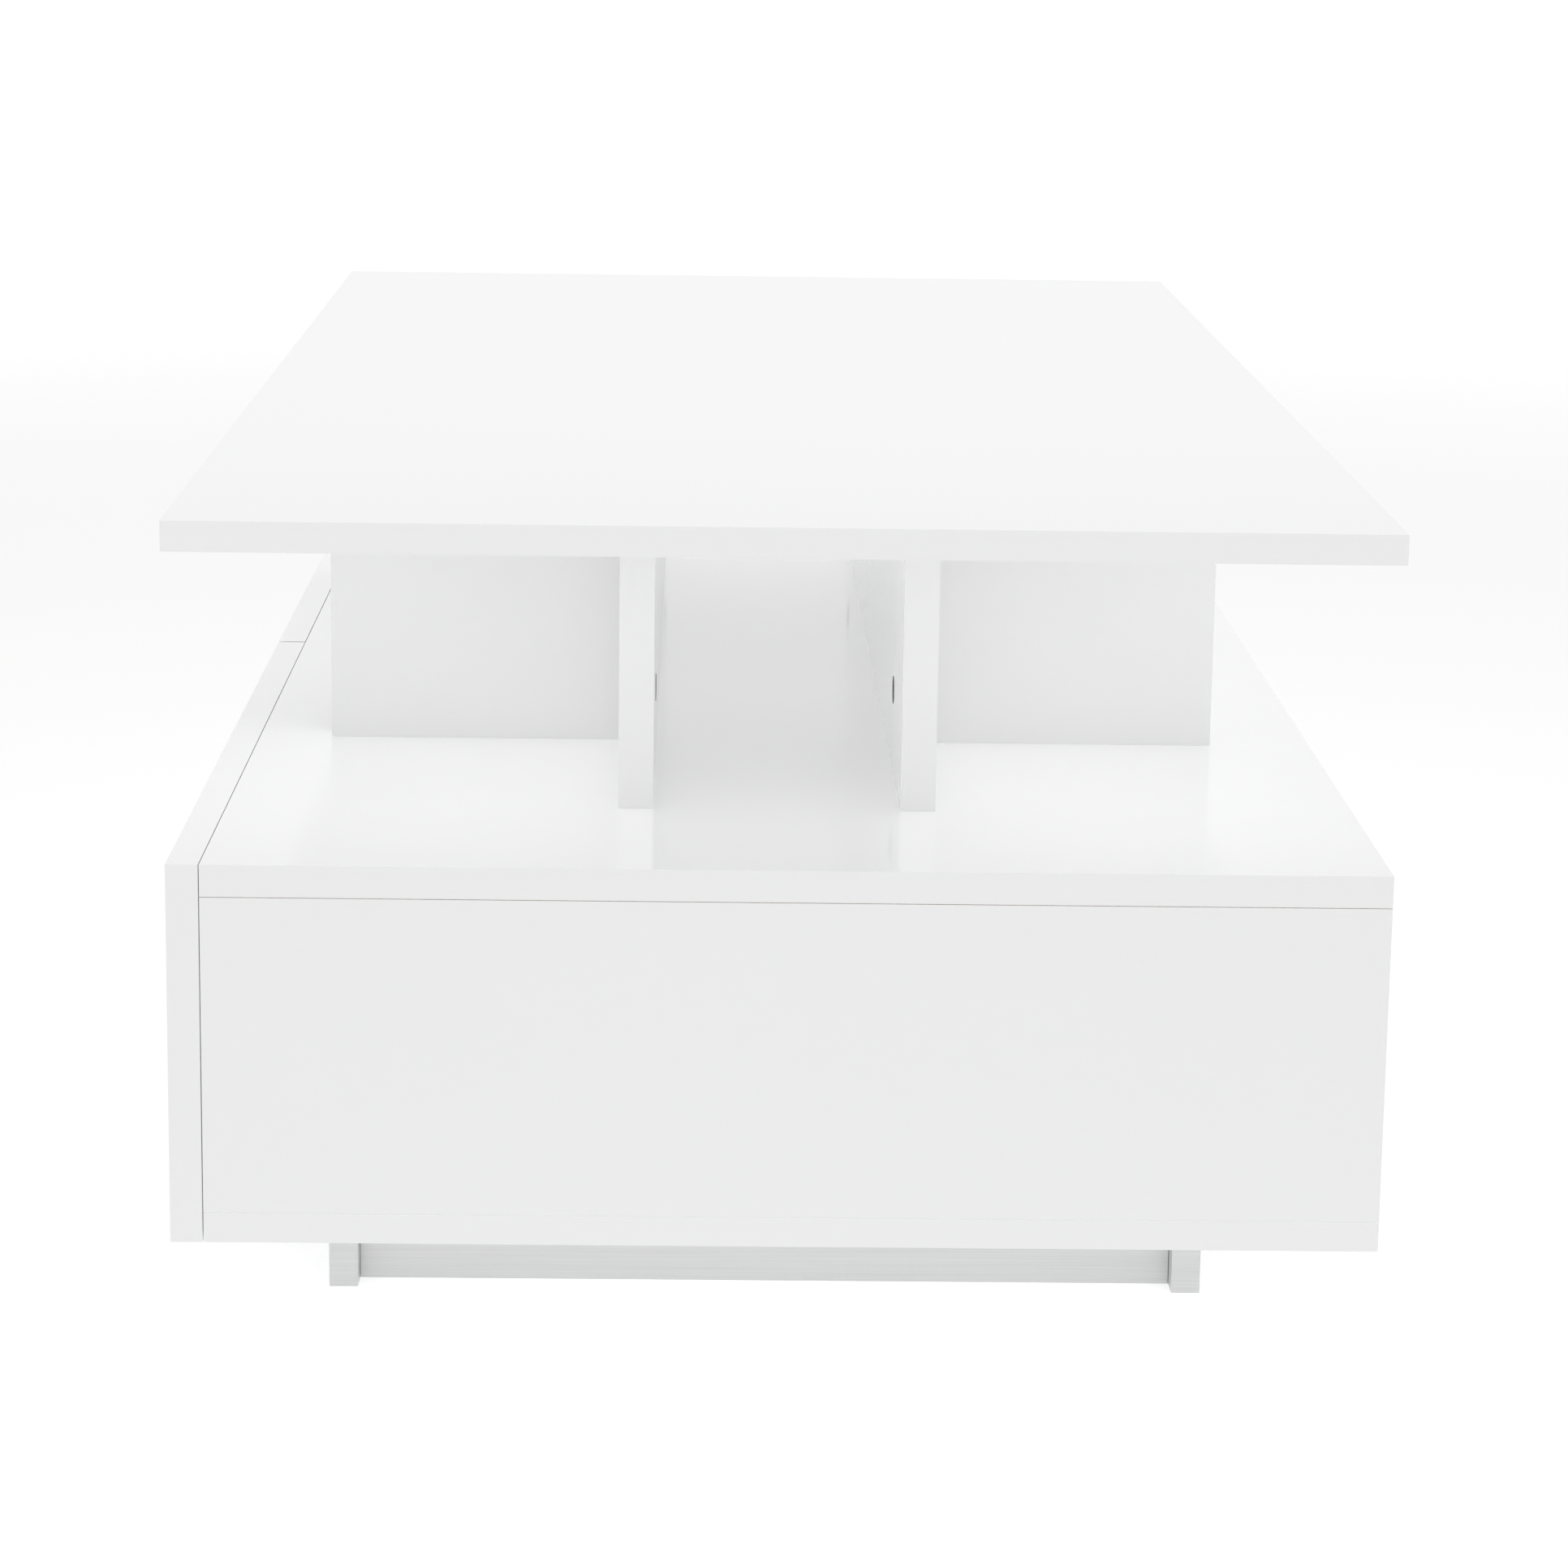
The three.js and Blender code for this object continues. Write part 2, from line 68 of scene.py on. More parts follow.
def make_camera():
    """A long lens that looks along +Y and slightly down, at the end of the table."""
    data = bpy.data.cameras.new("camera")
    data.lens = LENS_MM
    data.sensor_width = SENSOR_MM
    data.clip_end = VIEW_DEPTH
    camera = bpy.data.objects.new("camera", data)
    upright = Matrix.Rotation(math.radians(90), 4, "X")
    yaw = Matrix.Rotation(CAMERA_YAW, 4, "Z")
    pitch = Matrix.Rotation(CAMERA_PITCH, 4, "X")
    roll = Matrix.Rotation(CAMERA_ROLL, 4, "Y")
    camera.matrix_world = Matrix.Translation(CAMERA_PLACE) @ yaw @ pitch @ roll @ upright
    bpy.context.scene.collection.objects.link(camera)
    bpy.context.scene.camera = camera


# ---- light, floor and background ----

# Half the side of the floor.
FLOOR_HALF = 60.0
FLOOR_COLOUR = (0.93, 0.93, 0.93)
FLOOR_ROUGHNESS = 0.9
# The floor's own glow, near the table and far away, and the distances between which it changes.
FLOOR_GLOW_NEAR = 0.21
FLOOR_GLOW_FAR = 0.56
GLOW_RAMP_START = 1.5
GLOW_RAMP_END = 7.0
# Brightness of the room by height: (sine of the elevation, brightness).
ROOM_LEVELS = [(0.0, 1.0), (0.2, 0.98), (0.5, 0.68), (1.0, 0.42)]
# Brightness of the same room where the camera sees it directly.
BACKDROP_BRIGHTNESS = 1.02
# Light passes between white boards more often than the usual limit of diffuse bounces allows.
WHITE_ROOM_BOUNCES = 8

# Each soft box: name, place, height of the point it faces, side of the square, brightness, and
# whether it throws shadows. The fill throws none, so it reaches evenly under the top.
SOFT_BOXES = [
    ("overhead_fill", (0.2, 0.1, 3.4), 0.3, 3.0, 1.25, False),
    ("overhead", (-0.1, 0.0, 3.4), 0.3, 3.0, 0.12, True),
]


def make_floor():
    """A flat pale floor, far larger than the view, that brightens with distance."""
    mesh = bpy.data.meshes.new("floor")
    corners = [(x * FLOOR_HALF, y * FLOOR_HALF, 0) for x, y in ((-1, -1), (1, -1), (1, 1), (-1, 1))]
    mesh.from_pydata(corners, [], [(0, 1, 2, 3)])
    floor = bpy.data.objects.new("floor", mesh)
    bpy.context.scene.collection.objects.link(floor)
    material = bpy.data.materials.new("floor")
    material.use_nodes = True
    nodes, links = material.node_tree.nodes, material.node_tree.links
    shader = nodes["Principled BSDF"]
    shader.inputs["Base Color"].default_value = (*FLOOR_COLOUR, 1)
    shader.inputs["Roughness"].default_value = FLOOR_ROUGHNESS
    shader.inputs["Specular IOR Level"].default_value = 0.0
    shader.inputs["Emission Color"].default_value = (1, 1, 1, 1)
    place = nodes.new("ShaderNodeTexCoord")
    distance = nodes.new("ShaderNodeVectorMath")
    distance.operation = "LENGTH"
    ramp = nodes.new("ShaderNodeMapRange")
    ramp.interpolation_type = "SMOOTHSTEP"
    ramp.inputs["From Min"].default_value = GLOW_RAMP_START
    ramp.inputs["From Max"].default_value = GLOW_RAMP_END
    ramp.inputs["To Min"].default_value = FLOOR_GLOW_NEAR
    ramp.inputs["To Max"].default_value = FLOOR_GLOW_FAR
    links.new(place.outputs["Object"], distance.inputs[0])
    links.new(distance.outputs["Value"], ramp.inputs["Value"])
    links.new(ramp.outputs["Result"], shader.inputs["Emission Strength"])
    mesh.materials.append(material)


def make_soft_box(name, place, target_height, size, brightness, shadows):
    """A square soft box that faces a point above the origin and is hidden from the camera."""
    data = bpy.data.lights.new(name, "AREA")
    data.shape = "SQUARE"
    data.size = size
    data.energy = brightness * math.pi * size * size
    data.use_shadow = shadows
    light = bpy.data.objects.new(name, data)
    direction = Vector((0, 0, target_height)) - Vector(place)
    aim = direction.to_track_quat("-Z", "Y").to_matrix().to_4x4()
    light.matrix_world = Matrix.Translation(place) @ aim
    light.visible_camera = False
    bpy.context.scene.collection.objects.link(light)


def make_light():
    """A bright plain room with a white backdrop, and the soft boxes."""
    world = bpy.data.worlds.new("room")
    world.use_nodes = True
    nodes, links = world.node_tree.nodes, world.node_tree.links
    background = nodes["Background"]
    background.inputs["Color"].default_value = (1, 1, 1, 1)
    direction = nodes.new("ShaderNodeTexCoord")
    height = nodes.new("ShaderNodeSeparateXYZ")
    links.new(direction.outputs["Generated"], height.inputs["Vector"])
    room = nodes.new("ShaderNodeValToRGB")
    room.color_ramp.elements.remove(room.color_ramp.elements[1])
    for step, (sine, level) in enumerate(ROOM_LEVELS):
        element = room.color_ramp.elements.new(sine) if step else room.color_ramp.elements[0]
        element.position = sine
        element.color = (level, level, level, 1)
    links.new(height.outputs["Z"], room.inputs["Fac"])
    rays = nodes.new("ShaderNodeLightPath")
    strength = nodes.new("ShaderNodeMapRange")
    strength.inputs["To Max"].default_value = BACKDROP_BRIGHTNESS
    links.new(rays.outputs["Is Camera Ray"], strength.inputs["Value"])
    links.new(room.outputs["Color"], strength.inputs["To Min"])
    links.new(strength.outputs["Result"], background.inputs["Strength"])
    bpy.context.scene.world = world
    for soft_box in SOFT_BOXES:
        make_soft_box(*soft_box)
    bpy.context.scene.cycles.diffuse_bounces = WHITE_ROOM_BOUNCES
    bpy.context.scene.view_settings.view_transform = "Standard"


# ---- material nodes ----

# A face counts as level not at all at the first Z of its normal, and fully at the second.
LEVEL_FACE = (0.8, 0.95)
# The parts of a noise texture's values that are spread out over a wider range.
NOISE_RANGE = (0.3, 0.7)
NARROW_NOISE_RANGE = (0.35, 0.65)
FULL_RANGE = (0.0, 1.0)
# Sockets of a Mix node that mixes colours: its factor, its two colours, and its result.
MIX_INPUTS = (0, 6, 7)
MIX_OUTPUT = 2


class Surface:
    """A node material: one Principled shader and the textures that feed it, in object space."""

    def __init__(self, name, colour, roughness, metallic=0.0):
        self.material = bpy.data.materials.new(name)
        self.material.use_nodes = True
        self.tree = self.material.node_tree
        self.shader = self.tree.nodes["Principled BSDF"]
        self.shader.inputs["Base Color"].default_value = (*colour, 1)
        self.shader.inputs["Roughness"].default_value = roughness
        self.shader.inputs["Metallic"].default_value = metallic
        self.coordinates = self.tree.nodes.new("ShaderNodeTexCoord").outputs["Object"]

    def link(self, source, target):
        """Feeds an output socket into an input socket."""
        self.tree.links.new(source, target)

    def stretched(self, scale):
        """Object coordinates scaled differently along each axis."""
        mapping = self.tree.nodes.new("ShaderNodeMapping")
        mapping.inputs["Scale"].default_value = scale
        self.link(self.coordinates, mapping.inputs["Vector"])
        return mapping.outputs["Vector"]

    def facing(self, upward):
        """1 on faces that look straight up, or straight down if upward is False, and 0 elsewhere."""
        geometry = self.tree.nodes.new("ShaderNodeNewGeometry")
        split = self.tree.nodes.new("ShaderNodeSeparateXYZ")
        self.link(geometry.outputs["True Normal"], split.inputs["Vector"])
        sign = 1 if upward else -1
        return self.spread(split.outputs["Z"], [sign * z for z in LEVEL_FACE], FULL_RANGE)

    def noise(self, scale, detail=2.0, stretch=None, seed=0.0):
        """A soft noise. scale times stretch gives its features per metre along each axis."""
        texture = self.tree.nodes.new("ShaderNodeTexNoise")
        texture.noise_dimensions = "4D"
        texture.inputs["Scale"].default_value = scale
        texture.inputs["Detail"].default_value = detail
        texture.inputs["W"].default_value = seed
        self.link(self.stretched(stretch) if stretch else self.coordinates, texture.inputs["Vector"])
        return texture.outputs["Fac"]

    def spread(self, value, source, target):
        """Maps a value from one range to another, held inside the new range."""
        node = self.tree.nodes.new("ShaderNodeMapRange")
        for key, number in zip(("From Min", "From Max", "To Min", "To Max"), (*source, *target)):
            node.inputs[key].default_value = number
        self.link(value, node.inputs["Value"])
        return node.outputs["Result"]

    def vary_roughness(self, value, low, high, source=NOISE_RANGE):
        """Roughness that follows a value, from low to high."""
        self.link(self.spread(value, source, (low, high)), self.shader.inputs["Roughness"])

    def mixed(self, factor, colour_a, colour_b):
        """A colour between two others."""
        mix = self.tree.nodes.new("ShaderNodeMix")
        mix.data_type = "RGBA"
        factor_input, input_a, input_b = (mix.inputs[number] for number in MIX_INPUTS)
        self.link(factor, factor_input)
        input_a.default_value = (*colour_a, 1)
        input_b.default_value = (*colour_b, 1)
        return mix.outputs[MIX_OUTPUT]

    def vary_colour(self, factor, colour_a, colour_b):
        """Base colour between two others."""
        colour = self.mixed(factor, colour_a, colour_b)
        self.link(colour, self.shader.inputs["Base Color"])
        return colour

    def join_colours(self, factor, source_a, source_b):
        """Base colour that goes from one source to another."""
        mix = self.tree.nodes.new("ShaderNodeMix")
        mix.data_type = "RGBA"
        for source, number in zip((factor, source_a, source_b), MIX_INPUTS):
            self.link(source, mix.inputs[number])
        self.link(mix.outputs[MIX_OUTPUT], self.shader.inputs["Base Color"])

    def add_bump(self, value, distance, strength):
        """Relief that follows a value. distance is its height in metres."""
        bump = self.tree.nodes.new("ShaderNodeBump")
        bump.inputs["Strength"].default_value = strength
        bump.inputs["Distance"].default_value = distance
        self.link(value, bump.inputs["Height"])
        self.link(bump.outputs["Normal"], self.shader.inputs["Normal"])


# For each material: a plain colour, the two tones its surface varies between, and its roughness.
LACQUER = (0.92, 0.92, 0.922)
LACQUER_TONES = ((0.905, 0.906, 0.911), (0.933, 0.933, 0.934))
LACQUER_ROUGHNESS = 0.08
LACQUER_SPECULAR = 0.4
# Tones of bare chipboard. They also paint the shade in the seams under the deck.
CHIPBOARD_SEAM_SHADE_TONES = ((0.40, 0.35, 0.29), (0.60, 0.54, 0.47))
MELAMINE = (0.84, 0.84, 0.83)
MELAMINE_TONES = ((0.82, 0.82, 0.81), (0.86, 0.86, 0.852))
MELAMINE_ROUGHNESS = 0.5
FIBREBOARD_TONES = ((0.45, 0.41, 0.36), (0.56, 0.52, 0.465))
FIBREBOARD_ROUGHNESS = 0.55
FOIL = (0.63, 0.632, 0.635)
FOIL_TONES = ((0.59, 0.592, 0.595), (0.665, 0.667, 0.67))
FOIL_ROUGHNESS = 0.36
FOIL_METALLIC = 0.6
ZINC = (0.66, 0.67, 0.68)
ZINC_TONES = ((0.64, 0.652, 0.665), (0.71, 0.715, 0.72))
ZINC_ROUGHNESS = 0.3
BLACK_COAT = (0.02, 0.02, 0.021)
BLACK_COAT_TONES = ((0.016, 0.016, 0.017), (0.030, 0.030, 0.032))
BLACK_COAT_ROUGHNESS = 0.42
WIRE = (0.22, 0.22, 0.23)
WIRE_TONES = ((0.15, 0.15, 0.16), (0.27, 0.27, 0.28))
WIRE_ROUGHNESS = 0.32
GREY_PLASTIC = (0.33, 0.335, 0.345)
WHITE_PLASTIC = (0.78, 0.78, 0.77)
PLASTIC_ROUGHNESS = 0.5
PLASTIC_SHADE = 0.93


def lacquer_surface(name):
    """Sprayed high-gloss white: a hard clear surface with faint orange peel and polishing haze."""
    surface = Surface(name, LACQUER, LACQUER_ROUGHNESS)
    surface.shader.inputs["Specular IOR Level"].default_value = LACQUER_SPECULAR
    haze = surface.noise(scale=4.0, detail=1.0, seed=3.0)
    surface.vary_roughness(haze, low=0.07, high=0.1)
    orange_peel = surface.noise(scale=5.0, detail=1.0, seed=5.0)
    surface.add_bump(orange_peel, distance=0.02 * MM, strength=0.4)
    colour = surface.vary_colour(surface.noise(scale=2.3, detail=3.0), *LACQUER_TONES)
    return surface, colour


def white_lacquer():
    """Lacquered board."""
    return lacquer_surface("white_lacquer")[0].material


def raw_top_seam_shade_lacquer():
    """Lacquered board whose hidden upper edge is bare chipboard, and its dark tone also paints the shade
    in the seam under the deck.
    """
    surface, colour = lacquer_surface("white_lacquer_raw_top_seam_shade")
    grains = surface.noise(scale=330.0, detail=4.0, seed=9.0)
    bare = surface.mixed(surface.spread(grains, NARROW_NOISE_RANGE, FULL_RANGE), *CHIPBOARD_SEAM_SHADE_TONES)
    # Upward faces take the chipboard tones, which paint the seam's shade as well as the bare board.
    surface.join_colours(surface.facing(upward=True), colour, bare)
    return surface.material


def white_melamine():
    """Matt white faced board with the fine pebble of its press plate."""
    surface = Surface("white_melamine", MELAMINE, MELAMINE_ROUGHNESS)
    surface.vary_colour(surface.noise(scale=6.0), *MELAMINE_TONES)
    surface.vary_roughness(surface.noise(scale=60.0), low=0.42, high=0.56)
    surface.add_bump(surface.noise(scale=1500.0), distance=0.05 * MM, strength=0.5)
    return surface.material


def silver_foil():
    """Silver foil with a fine brushed grain that runs level along the plinth."""
    surface = Surface("silver_foil", FOIL, FOIL_ROUGHNESS, FOIL_METALLIC)
    grain = surface.noise(scale=1.0, detail=4.0, stretch=(7.0, 7.0, 1400.0))
    surface.vary_colour(surface.spread(grain, NOISE_RANGE, FULL_RANGE), *FOIL_TONES)
    surface.vary_roughness(grain, low=0.30, high=0.46)
    surface.add_bump(grain, distance=0.03 * MM, strength=0.5)
    return surface.material


def plated_steel():
    """Bright zinc plating: cool and even, with a fine rolled grain and a slightly uneven shine."""
    surface = Surface("plated_steel", ZINC, ZINC_ROUGHNESS, metallic=1.0)
    clouds = surface.noise(scale=28.0, detail=5.0, seed=2.0)
    surface.vary_colour(surface.spread(clouds, NOISE_RANGE, FULL_RANGE), *ZINC_TONES)
    surface.vary_roughness(surface.noise(scale=55.0, detail=4.0), low=0.22, high=0.36)
    rolled_grain = surface.noise(scale=1.0, detail=3.0, stretch=(40.0, 1600.0, 1600.0))
    surface.add_bump(rolled_grain, distance=0.01 * MM, strength=0.5)
    return surface.material


def black_steel():
    """Black powder coat with its fine grained skin."""
    surface = Surface("black_steel", BLACK_COAT, BLACK_COAT_ROUGHNESS)
    surface.vary_colour(surface.noise(scale=35.0, detail=4.0), *BLACK_COAT_TONES)
    surface.vary_roughness(surface.noise(scale=120.0), low=0.34, high=0.5)
    surface.add_bump(surface.noise(scale=1600.0), distance=0.06 * MM, strength=0.5)
    return surface.material


def spring_steel():
    """Oiled spring wire, dark and slightly mottled."""
    surface = Surface("spring_steel", WIRE, WIRE_ROUGHNESS, metallic=1.0)
    surface.vary_colour(surface.noise(scale=180.0, detail=3.0), *WIRE_TONES)
    surface.vary_roughness(surface.noise(scale=300.0), low=0.24, high=0.4)
    return surface.material


def moulded_plastic(name, colour):
    """Moulded plastic with a fine spark-eroded grain."""
    surface = Surface(name, colour, PLASTIC_ROUGHNESS)
    darker = tuple(PLASTIC_SHADE * part for part in colour)
    surface.vary_colour(surface.noise(scale=50.0, detail=3.0), darker, colour)
    surface.vary_roughness(surface.noise(scale=200.0), low=0.42, high=0.58)
    surface.add_bump(surface.noise(scale=2200.0), distance=0.03 * MM, strength=0.5)
    return surface.material


def drawer_bottom_board():
    """Thin fibreboard: white faced on top, bare brownish fibre underneath."""
    surface = Surface("drawer_bottom_board", MELAMINE, FIBREBOARD_ROUGHNESS)
    fibres = surface.noise(scale=1.0, detail=6.0, stretch=(240.0, 420.0, 240.0))
    below = surface.facing(upward=False)
    face = surface.vary_colour(fibres, *MELAMINE_TONES)
    bare = surface.mixed(surface.spread(fibres, NARROW_NOISE_RANGE, FULL_RANGE), *FIBREBOARD_TONES)
    surface.join_colours(below, face, bare)
    surface.vary_roughness(below, low=0.5, high=0.85, source=FULL_RANGE)
    surface.add_bump(surface.noise(scale=1200.0, detail=3.0), distance=0.05 * MM, strength=0.6)
    return surface.material


MATERIALS = {
    "white_lacquer": white_lacquer(),
    "white_melamine": white_melamine(),
    "silver_foil": silver_foil(),
    "plated_steel": plated_steel(),
    "black_steel": black_steel(),
    "spring_steel": spring_steel(),
    "grey_plastic": moulded_plastic("grey_plastic", GREY_PLASTIC),
    "white_plastic": moulded_plastic("white_plastic", WHITE_PLASTIC),
}
HARDBOARD = drawer_bottom_board()
# Lacquer with dark chipboard on its upper faces, which also paints the shade in the seams under the deck.
RAW_TOP_SEAM_SHADE = raw_top_seam_shade_lacquer()
SLOT_OF_NODE = {part["node"]: part["material_slot"] for part in frame["record"]["subparts"]}

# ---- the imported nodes: materials and softened edges ----

BEVEL_SEGMENTS = 3
BEVEL_ANGLE = math.radians(40)
# Rounding of the edges by material slot. ROUNDED_NODES has the nodes that differ from it.
EDGE_RADIUS = {
    "white_lacquer": 0.35 * MM,
    "white_melamine": 0.3 * MM,
    "silver_foil": 0.4 * MM,
    "plated_steel": 0.15 * MM,
    "black_steel": 0.3 * MM,
    "grey_plastic": 0.5 * MM,
    "white_plastic": 0.4 * MM,
}
ROUNDED_NODES = {"bottom_board": 0.8 * MM, "top_slab": 0.6 * MM}
DOMED_PIN_RADIUS = 0.8 * MM
# The nodes whose faces aren't all finished alike.
SPECIAL_MATERIALS = {
    "drawer_a_bottom": HARDBOARD,
    "drawer_b_bottom": HARDBOARD,
    # The end and back panels' upper faces are dark chipboard, which also paints the shade in the seams
    # under the deck.
    "end_panel_front": RAW_TOP_SEAM_SHADE,
    "end_panel_rear": RAW_TOP_SEAM_SHADE,
    "back_panel": RAW_TOP_SEAM_SHADE,
}


def soften_edges(piece, radius):
    """Rounds the sharp edges of a piece with a modifier."""
    bevel = piece.modifiers.new("soft_edges", "BEVEL")
    bevel.width = radius
    bevel.segments = BEVEL_SEGMENTS
    bevel.limit_method = "ANGLE"
    bevel.angle_limit = BEVEL_ANGLE
    bevel.harden_normals = True
    for face in piece.data.polygons:
        face.use_smooth = True


def finish_nodes():
    """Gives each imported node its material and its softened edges."""
    for name, piece in frame["nodes"].items():
        slot = SLOT_OF_NODE[name]
        material = SPECIAL_MATERIALS.get(name, MATERIALS[slot])
        piece.data.materials.clear()
        piece.data.materials.append(material)
        if name.startswith("lift_pin_"):
            soften_edges(piece, DOMED_PIN_RADIUS)
        elif slot in EDGE_RADIUS:
            soften_edges(piece, ROUNDED_NODES.get(name, EDGE_RADIUS[slot]))


# ---- new pieces ----

# Faces of a new piece that meet at less than this angle are shaded as one smooth surface.
SHARP_ANGLE = math.radians(35)


def add_piece(name, mesh_data, slot, body, replaced=()):
    """Makes an object of a bmesh, gives it its finish and its body, and hides the nodes it stands for."""
    mesh = bpy.data.meshes.new(name)
    bmesh.ops.recalc_face_normals(mesh_data, faces=mesh_data.faces)
    mesh_data.to_mesh(mesh)
    mesh_data.free()
    mesh.materials.append(MATERIALS[slot])
    for face in mesh.polygons:
        face.use_smooth = True
    mesh.set_sharp_from_angle(angle=SHARP_ANGLE)
    piece = bpy.data.objects.new(name, mesh)
    bpy.context.scene.collection.objects.link(piece)
    if replaced:
        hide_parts(*replaced)
    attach(piece, body)


def axes_of(normal):
    """A face's normal, made one long, and two directions square to it and to each other."""
    normal = Vector(normal).normalized()
    across = normal.orthogonal().normalized()
    return normal, across, normal.cross(across)


def add_turned(work, place, normal, rings, steps, turn=0.0):
    """Adds a closed turned body. Each ring is (radius, height along the normal), from foot to tip.

    A radius may be a function of the angle, for a recess that isn't round.
    """
    normal, across, along = axes_of(normal)
    place = Vector(place)
    loops = []
    for radius, height in rings:
        loop = []
        for step in range(steps):
            angle = 2 * math.pi * step / steps
            reach = radius(angle) if callable(radius) else radius
            spot = angle + turn
            offset = reach * (math.cos(spot) * across + math.sin(spot) * along)
            loop.append(work.verts.new(place + offset + height * normal))
        loops.append(loop)
    work.faces.new(reversed(loops[0]))
    for below, above in zip(loops, loops[1:]):
        for step in range(steps):
            ahead = (step + 1) % steps
            work.faces.new((below[step], below[ahead], above[ahead], above[step]))
    work.faces.new(loops[-1])


def cross_radius(length, half_width):
    """Outline of a cross recess, as a radius for each angle."""

    def radius(angle):
        lean = (angle + math.pi / 4) % (math.pi / 2) - math.pi / 4
        if abs(lean) < math.atan2(half_width, length):
            return length / math.cos(lean)
        return half_width / abs(math.sin(lean))

    return radius


# Profiles of the turned fittings, from foot to tip. Each point is a share of the radius and a share
# of the height. Each ring of a cross recess has the length and half width of its arms, as shares of
# the radius, and a share of the height.
SCREW_PROFILE = [(0.97, 0.0), (1.0, 0.12), (0.95, 0.45), (0.82, 0.78), (0.68, 0.95)]
SCREW_RECESS = [(0.55, 0.16, 1.0), (0.38, 0.11, 0.35)]
CAM_PROFILE = [(1.0, 0.0), (1.0, 0.7), (0.95, 1.0), (0.84, 1.0), (0.80, 0.55), (0.60, 0.55)]
CAM_RECESS = [(0.45, 0.12, 0.55), (0.40, 0.08, 0.1)]
COLLAR_PROFILE = [(1.0, 0.0), (1.0, 0.6), (0.93, 0.8)]
BUMPER_PROFILE = [(1.0, 0.0), (0.96, 0.5), (0.75, 0.85), (0.4, 1.0)]
RECESS_STEPS = 48
CAM_RADIUS = 7.5 * MM
CAM_HEIGHT = 0.2 * MM


def profile_rings(profile, radius, height, recess=()):
    """Rings for add_turned, from a profile and the cross recess that ends it."""
    rings = [(share * radius, level * height) for share, level in profile]
    for length, half_width, level in recess:
        rings.append((cross_radius(length * radius, half_width * radius), level * height))
    return rings


def add_screw(work, place, normal, radius, height, turn):
    """A domed screw head with a cross recess sunk into it."""
    rings = profile_rings(SCREW_PROFILE, radius, height, SCREW_RECESS)
    add_turned(work, place, normal, rings, RECESS_STEPS, turn)


def add_cam(work, place, normal, turn):
    """The face of a cam fitting: a rimmed disc with a cross recess."""
    rings = profile_rings(CAM_PROFILE, CAM_RADIUS, CAM_HEIGHT, CAM_RECESS)
    add_turned(work, place, normal, rings, RECESS_STEPS, turn)


def middle(low, high):
    """The number halfway between two others."""
    return (low + high) / 2


def spaced(low, high, count):
    """Evenly spaced numbers from low to high, both included."""
    return [low + (high - low) * step / (count - 1) for step in range(count)]


# ---- lift springs ----

WIRE_RADIUS = 1.2 * MM
COIL_RADIUS = 8.0 * MM
COIL_TURNS = 5
COIL_PITCH = 2.9 * MM
COIL_STEPS = 40
TAIL_LENGTH = 15.8 * MM
TAIL_STEPS = 8
WIRE_SIDES = 10


def spring_route(centre, start_y, inward):
    """Centre line of a torsion spring: a straight tail, the turns and another straight tail."""
    bottom = -math.pi / 2
    wound = COIL_TURNS * 2 * math.pi
    route = []
    for step in range(TAIL_STEPS):
        reach = -TAIL_LENGTH * (1 - step / TAIL_STEPS)
        route.append(Vector((centre.x + reach, start_y, centre.z - COIL_RADIUS)))
    for step in range(COIL_TURNS * COIL_STEPS + 1):
        angle = wound * step / (COIL_TURNS * COIL_STEPS)
        along = inward * COIL_PITCH * angle / (2 * math.pi)
        x = centre.x + COIL_RADIUS * math.cos(bottom + angle)
        z = centre.z + COIL_RADIUS * math.sin(bottom + angle)
        route.append(Vector((x, start_y + along, z)))
    end_y = start_y + inward * COIL_PITCH * COIL_TURNS
    for step in range(1, TAIL_STEPS + 1):
        reach = TAIL_LENGTH * step / TAIL_STEPS
        route.append(Vector((centre.x + reach, end_y, centre.z - COIL_RADIUS)))
    return route


def add_tube(work, route, radius, sides):
    """A closed round tube along a route, turned as little as possible from point to point."""
    behind = [route[0]] + route[:-1]
    ahead_of = route[1:] + [route[-1]]
    tangents = [(after - before).normalized() for before, after in zip(behind, ahead_of)]
    across = tangents[0].orthogonal().normalized()
    loops = []
    for place, tangent in zip(route, tangents):
        across = (across - across.dot(tangent) * tangent).normalized()
        along = tangent.cross(across)
        loop = []
        for side in range(sides):
            angle = 2 * math.pi * side / sides
            offset = radius * (math.cos(angle) * across + math.sin(angle) * along)
            loop.append(work.verts.new(place + offset))
        loops.append(loop)
    work.faces.new(reversed(loops[0]))
    for before, after in zip(loops, loops[1:]):
        for side in range(sides):
            ahead = (side + 1) % sides
            work.faces.new((before[side], before[ahead], after[ahead], after[side]))
    work.faces.new(loops[-1])


def make_springs():
    """Smooth wound wire in place of each coarse packed spring."""
    for label, inward in (("front", 1), ("rear", -1)):
        node = f"lift_spring_{label}"
        low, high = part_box(node)
        pin_low, pin_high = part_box(f"lift_pin_upper_{label}")
        centre = Vector((middle(pin_low.x, pin_high.x), 0, middle(pin_low.z, pin_high.z)))
        outer = low.y if inward > 0 else high.y
        start_y = outer + inward * WIRE_RADIUS
        work = bmesh.new()
        add_tube(work, spring_route(centre, start_y, inward), WIRE_RADIUS, WIRE_SIDES)
        add_piece(f"lift_spring_wire_{label}", work, "spring_steel", "root", replaced=(node,))


# ---- screws of the lift, the latches and the runners ----

PLATE_SCREW_RADIUS = 3.4 * MM
PLATE_SCREW_HEIGHT = 1.9 * MM
PLATE_SCREW_INSET = 8.5 * MM
PLATE_SCREW_LEVELS = (14 * MM, 40 * MM, 66 * MM)
FLANGE_THICKNESS = 2.5 * MM
FLANGE_SCREW_INSET = 13 * MM
FLANGE_SCREWS = 4
FLANGE_SCREW_LINE = 11 * MM
# How far the first recess is turned, and how much further each one after it.
LIFT_FIRST_TURN = 0.3
LIFT_TURN_STEP = 0.7


